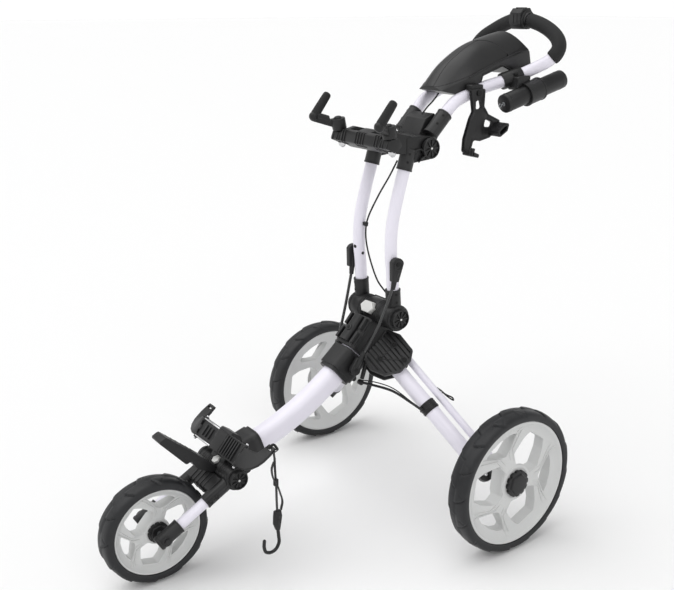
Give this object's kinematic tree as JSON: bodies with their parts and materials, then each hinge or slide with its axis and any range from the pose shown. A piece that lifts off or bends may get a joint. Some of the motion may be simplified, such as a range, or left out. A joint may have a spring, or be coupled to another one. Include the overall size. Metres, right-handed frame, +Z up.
{
  "type": "golf push trolley",
  "caption": "Folding push trolley with a hub that the legs, front fork and tube frame fold on, a looped handle with a console, a bag cradle and open-spoked wheels.",
  "frame": {"origin": "on the ground under the middle of the bounding box", "axes": "+Z up, -Y towards the front wheel, +Y towards the handle, +X to the right rear wheel"},
  "size_m": [0.6882, 1.0148, 0.995],
  "materials": {
    "white_paint": "smooth gloss paint",
    "black_plastic": "moulded glass-filled plastic, satin",
    "console_plastic": "finely textured moulded plastic",
    "rim_plastic": "moulded plastic, satin",
    "tyre_rubber": "foamed rubber, matte",
    "grip_foam": "closed-cell foam",
    "silver_plastic": "silver lacquer",
    "cable_steel": "drawn steel",
    "webbing": "woven elastic cord"
  },
  "bodies": {
    "frame": {"lower_tube": "white_paint", "hub_casting": "black_plastic", "hub_cover_right": "black_plastic", "hub_cover_left": "black_plastic", "main_pivot_pin": "black_plastic", "front_casting": "black_plastic", "bag_cradle": "black_plastic", "bag_rest": "black_plastic", "fold_cable_right": "cable_steel", "fold_cable_left": "cable_steel", "bag_strap": "webbing", "strap_buckle": "black_plastic", "strap_hook": "cable_steel"},
    "main_button": {"main_button": "silver_plastic"},
    "front_button": {"front_button": "silver_plastic"},
    "slider": {"slider": "black_plastic"},
    "upper_frame": {"middle_tube_right": "white_paint", "middle_tube_left": "white_paint", "lower_yoke": "black_plastic", "upper_yoke": "black_plastic", "upper_pivot_pin": "black_plastic", "brake_cable_lower": "black_plastic"},
    "link_right": {"link_right": "black_plastic"},
    "link_left": {"link_left": "black_plastic"},
    "bag_arm_right": {"bag_bracket_arm_right": "black_plastic"},
    "bag_arm_left": {"bag_bracket_arm_left": "black_plastic"},
    "handle": {"handle_tube": "white_paint", "grip_right": "grip_foam", "grip_left": "grip_foam", "grip_clamp": "black_plastic", "handle_casting": "black_plastic", "console_tray": "console_plastic", "umbrella_tube": "black_plastic", "umbrella_clamp": "black_plastic", "cup_bracket": "black_plastic", "brake_cable_upper": "black_plastic"},
    "console_lid": {"console_lid": "console_plastic"},
    "brake_lever": {"brake_lever": "black_plastic"},
    "fork": {"fork_tube_right": "white_paint", "fork_tube_left": "white_paint", "fork_crown": "black_plastic", "fork_pivot_pin": "black_plastic", "axle_clamp_right": "black_plastic", "axle_clamp_left": "black_plastic", "front_axle": "cable_steel"},
    "front_wheel": {"front_tyre": "tyre_rubber", "front_rim": "rim_plastic", "front_hub_cap": "black_plastic"},
    "leg_right": {"leg_right": "white_paint"},
    "leg_rod_right": {"leg_rod_right": "white_paint"},
    "wheel_mount_right": {"wheel_mount_right": "black_plastic"},
    "rear_wheel_right": {"rear_tyre_right": "tyre_rubber", "rear_rim_right": "rim_plastic", "rear_hub_cap_right": "black_plastic"},
    "leg_left": {"leg_left": "white_paint"},
    "leg_rod_left": {"leg_rod_left": "white_paint"},
    "wheel_mount_left": {"wheel_mount_left": "black_plastic"},
    "rear_wheel_left": {"rear_tyre_left": "tyre_rubber", "rear_rim_left": "rim_plastic", "rear_hub_cap_left": "black_plastic"}
  },
  "joints": [
    {"name": "frame_fold", "type": "hinge", "parent": "frame", "child": "upper_frame", "pos_m": [0, 0.10265, 0.4137], "axis": [1, 0, 0], "range_deg": [0, 82]},
    {"name": "handle_fold", "type": "hinge", "parent": "upper_frame", "child": "handle", "pos_m": [0, 0.18015, 0.741], "axis": [-1, 0, 0], "range_deg": [0, 105]},
    {"name": "slider_travel", "type": "hinge", "parent": "frame", "child": "slider", "pos_m": [0, -0.36805, 0.7709], "axis": [-1, 0, 0], "range_deg": [0, 15.62]},
    {"name": "link_right_swing", "type": "hinge", "parent": "upper_frame", "child": "link_right", "pos_m": [0.072, 0.09415, 0.525], "axis": [-1, 0, 0], "range_deg": [0, 96.93]},
    {"name": "link_left_swing", "type": "hinge", "parent": "upper_frame", "child": "link_left", "pos_m": [-0.072, 0.09415, 0.525], "axis": [-1, 0, 0], "range_deg": [0, 96.93]},
    {"name": "leg_right_fold", "type": "hinge", "parent": "frame", "child": "leg_right", "pos_m": [0.042, 0.09715, 0.323], "axis": [-0.6611, 0.4233, -0.6195], "range_deg": [0, 47.47], "deforming": ["fold_cable_right"]},
    {"name": "leg_rod_right_fold", "type": "hinge", "parent": "frame", "child": "leg_rod_right", "pos_m": [0.05695, 0.12814, 0.32822], "axis": [-0.6611, 0.4233, -0.6195], "range_deg": [0, 47.47]},
    {"name": "wheel_mount_right_turn", "type": "hinge", "parent": "leg_right", "child": "wheel_mount_right", "pos_m": [0.262, 0.16415, 0.134], "axis": [0.6611, -0.4233, 0.6195], "range_deg": [0, 47.47]},
    {"name": "rear_wheel_right_spin", "type": "hinge", "parent": "wheel_mount_right", "child": "rear_wheel_right", "pos_m": [0.3188, 0.17615, 0.1428], "axis": [1, 0, 0], "continuous": true},
    {"name": "leg_left_fold", "type": "hinge", "parent": "frame", "child": "leg_left", "pos_m": [-0.042, 0.09715, 0.323], "axis": [-0.6611, -0.4233, 0.6195], "range_deg": [0, 47.47], "deforming": ["fold_cable_left"]},
    {"name": "leg_rod_left_fold", "type": "hinge", "parent": "frame", "child": "leg_rod_left", "pos_m": [-0.05695, 0.12814, 0.32822], "axis": [-0.6611, -0.4233, 0.6195], "range_deg": [0, 47.47]},
    {"name": "wheel_mount_left_turn", "type": "hinge", "parent": "leg_left", "child": "wheel_mount_left", "pos_m": [-0.262, 0.16415, 0.134], "axis": [0.6611, 0.4233, -0.6195], "range_deg": [0, 47.47]},
    {"name": "rear_wheel_left_spin", "type": "hinge", "parent": "wheel_mount_left", "child": "rear_wheel_left", "pos_m": [-0.3188, 0.17615, 0.1428], "axis": [1, 0, 0], "continuous": true},
    {"name": "fork_fold", "type": "hinge", "parent": "frame", "child": "fork", "pos_m": [0, -0.26385, 0.178], "axis": [1, 0, 0], "range_deg": [0, 86]},
    {"name": "front_wheel_spin", "type": "hinge", "parent": "fork", "child": "front_wheel", "pos_m": [0, -0.40615, 0.1012], "axis": [1, 0, 0], "continuous": true},
    {"name": "console_lid_open", "type": "hinge", "parent": "handle", "child": "console_lid", "pos_m": [0, 0.23015, 0.848], "axis": [1, 0, 0], "range_deg": [0, 95]},
    {"name": "brake_lever_pull", "type": "hinge", "parent": "handle", "child": "brake_lever", "pos_m": [-0.0585, 0.39015, 0.889], "axis": [1, 0, 0], "range_deg": [0, 35]},
    {"name": "main_button_press", "type": "slide", "parent": "frame", "child": "main_button", "axis": [0, 0.891, -0.454], "range_m": [0, 0.0035], "stiffness_N_per_m": 400, "springref_m": -0.002},
    {"name": "front_button_press", "type": "slide", "parent": "frame", "child": "front_button", "axis": [0, 0.4695, -0.8829], "range_m": [0, 0.0035], "stiffness_N_per_m": 400, "springref_m": -0.002},
    {"name": "bag_arm_right_swing", "type": "hinge", "parent": "upper_frame", "child": "bag_arm_right", "pos_m": [0.08, 0.07515, 0.757], "axis": [0, 0.2, -0.9798], "range_deg": [0, 55]},
    {"name": "bag_arm_left_swing", "type": "hinge", "parent": "upper_frame", "child": "bag_arm_left", "pos_m": [-0.08, 0.07515, 0.757], "axis": [0, -0.2, 0.9798], "range_deg": [0, 55]}
  ],
  "couplings": [
    {"joint": "slider_travel", "follows": "frame_fold", "ratio": 0.19049},
    {"joint": "link_right_swing", "follows": "frame_fold", "ratio": 1.1821},
    {"joint": "link_left_swing", "follows": "frame_fold", "ratio": 1.1821},
    {"joint": "leg_right_fold", "follows": "frame_fold", "ratio": 0.5789},
    {"joint": "leg_rod_right_fold", "follows": "frame_fold", "ratio": 0.5789},
    {"joint": "wheel_mount_right_turn", "follows": "frame_fold", "ratio": 0.5789},
    {"joint": "leg_left_fold", "follows": "frame_fold", "ratio": 0.5789},
    {"joint": "leg_rod_left_fold", "follows": "frame_fold", "ratio": 0.5789},
    {"joint": "wheel_mount_left_turn", "follows": "frame_fold", "ratio": 0.5789}
  ]
}
